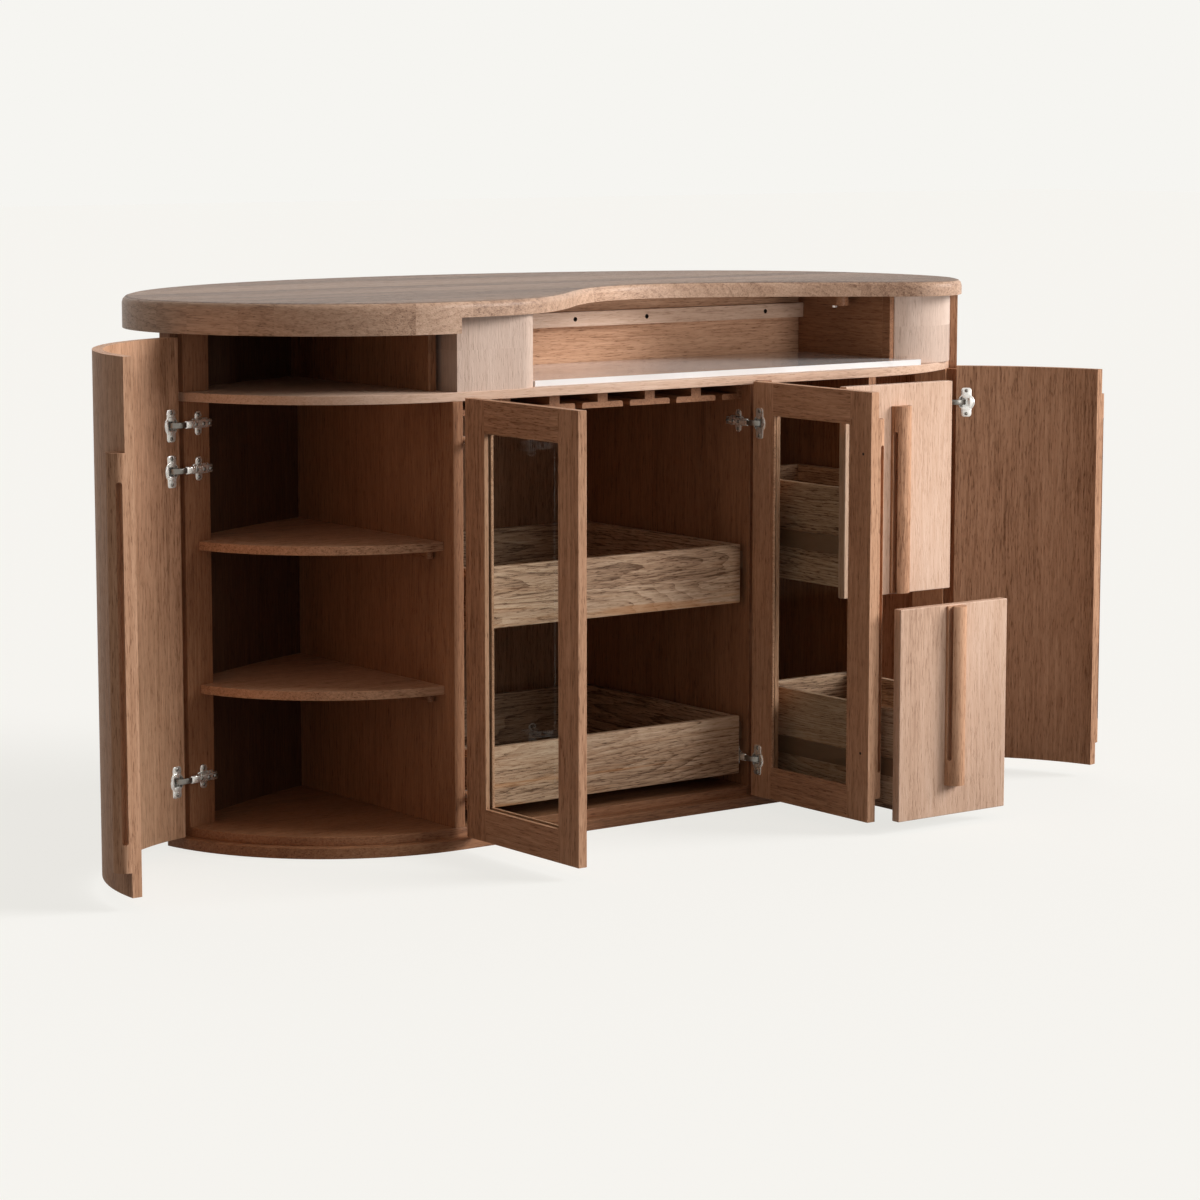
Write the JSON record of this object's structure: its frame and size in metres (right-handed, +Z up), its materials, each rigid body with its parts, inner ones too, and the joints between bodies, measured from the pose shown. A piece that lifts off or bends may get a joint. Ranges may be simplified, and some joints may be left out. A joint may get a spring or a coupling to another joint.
{
  "type": "home bar counter",
  "caption": "Kidney-shaped home bar counter with curved end doors, framed glass doors over pull-out trays, tall-fronted drawers, a serving niche and a stemware rack.",
  "frame": {"origin": "on the floor, under the middle of the cabinet", "axes": "+Z up, +X along the counter, to the right of someone who faces the serving side, which faces -Y"},
  "size_m": [2.4203, 1.4291, 1.09],
  "materials": {
    "oak_case": "stained oak veneer, satin lacquer",
    "oak_front": "stained oak, satin lacquer",
    "oak_top": "grey-brown oak, satin lacquer",
    "oak_light": "lightly oiled oak",
    "pale_stone": "polished warm white composite",
    "nickel": "satin nickel plate",
    "zinc": "bright zinc plate",
    "clear_glass": "clear float glass"
  },
  "bodies": {
    "cabinet": {"counter_top": "oak_top", "top_apron": "oak_top", "base_plinth": "oak_case", "floor_board": "oak_case", "mid_deck": "oak_case", "back_panel": "oak_case", "left_partition": "oak_case", "right_partition": "oak_case", "drawer_side_panel": "oak_case", "drawer_divider": "oak_case", "left_hinge_post": "oak_case", "left_upper_post": "oak_case", "right_hinge_post": "oak_case", "left_pillar": "oak_case", "right_pillar": "oak_case", "niche_left_wall": "oak_case", "niche_right_wall": "oak_case", "niche_back_panel": "oak_case", "niche_back_rail": "oak_case", "upper_left_partition": "oak_case", "stone_slab": "pale_stone", "lower_shelf": "oak_light", "upper_shelf": "oak_light", "shelf_cleats": "oak_case", "top_cleats": "oak_case", "cleat_bolts": "nickel", "stemware_rack": "oak_case", "curved_door_hinge_arms": "nickel", "glass_door_hinge_arms": "nickel", "tray_slides": "zinc", "drawer_slides": "zinc"},
    "left_door": {"left_curved_door": "oak_front", "left_door_handle": "oak_front", "left_door_hinge_cups": "nickel"},
    "right_door": {"right_curved_door": "oak_front", "right_door_handle": "oak_front", "right_door_hinge_cups": "nickel"},
    "left_glass_door": {"left_glass_door_frame": "oak_front", "left_glass_pane": "clear_glass", "left_glass_beads": "oak_front", "left_glass_hinge_cups": "nickel"},
    "right_glass_door": {"right_glass_door_frame": "oak_front", "right_glass_pane": "clear_glass", "right_glass_beads": "oak_front", "right_glass_hinge_cups": "nickel", "right_glass_door_handle": "oak_front"},
    "upper_tray": {"upper_tray_front": "oak_light", "upper_tray_box": "oak_light", "upper_tray_runners": "zinc"},
    "upper_drawer": {"upper_drawer_front": "oak_front", "upper_drawer_box": "oak_light", "upper_drawer_handle": "oak_front", "upper_drawer_runners": "zinc"},
    "lower_tray": {"lower_tray_front": "oak_light", "lower_tray_box": "oak_light", "lower_tray_runners": "zinc"},
    "lower_drawer": {"lower_drawer_front": "oak_front", "lower_drawer_box": "oak_light", "lower_drawer_handle": "oak_front", "lower_drawer_runners": "zinc"}
  },
  "joints": [
    {"name": "left_door_hinge", "type": "hinge", "parent": "cabinet", "child": "left_door", "pos_m": [-0.94334, 0.00265, 0], "axis": [0, 0, -1], "range_deg": [-90, 0]},
    {"name": "right_door_hinge", "type": "hinge", "parent": "cabinet", "child": "right_door", "pos_m": [0.90216, -0.25034, 0], "axis": [0, 0, 1], "range_deg": [-105, 0]},
    {"name": "left_glass_door_hinge", "type": "hinge", "parent": "cabinet", "child": "left_glass_door", "pos_m": [-0.4885, -0.35, 0], "axis": [0, 0, -1], "range_deg": [-90, 0]},
    {"name": "right_glass_door_hinge", "type": "hinge", "parent": "cabinet", "child": "right_glass_door", "pos_m": [0.2605, -0.35, 0], "axis": [0, 0, 1], "range_deg": [-90, 0]},
    {"name": "upper_tray_slide", "type": "slide", "parent": "cabinet", "child": "upper_tray", "axis": [0, -1, 0], "range_m": [0, 0.449]},
    {"name": "lower_tray_slide", "type": "slide", "parent": "cabinet", "child": "lower_tray", "axis": [0, -1, 0], "range_m": [0, 0.449]},
    {"name": "upper_drawer_slide", "type": "slide", "parent": "cabinet", "child": "upper_drawer", "axis": [0, -1, 0], "range_m": [-0.233, 0.175]},
    {"name": "lower_drawer_slide", "type": "slide", "parent": "cabinet", "child": "lower_drawer", "axis": [0, -1, 0], "range_m": [-0.408, 0]}
  ]
}
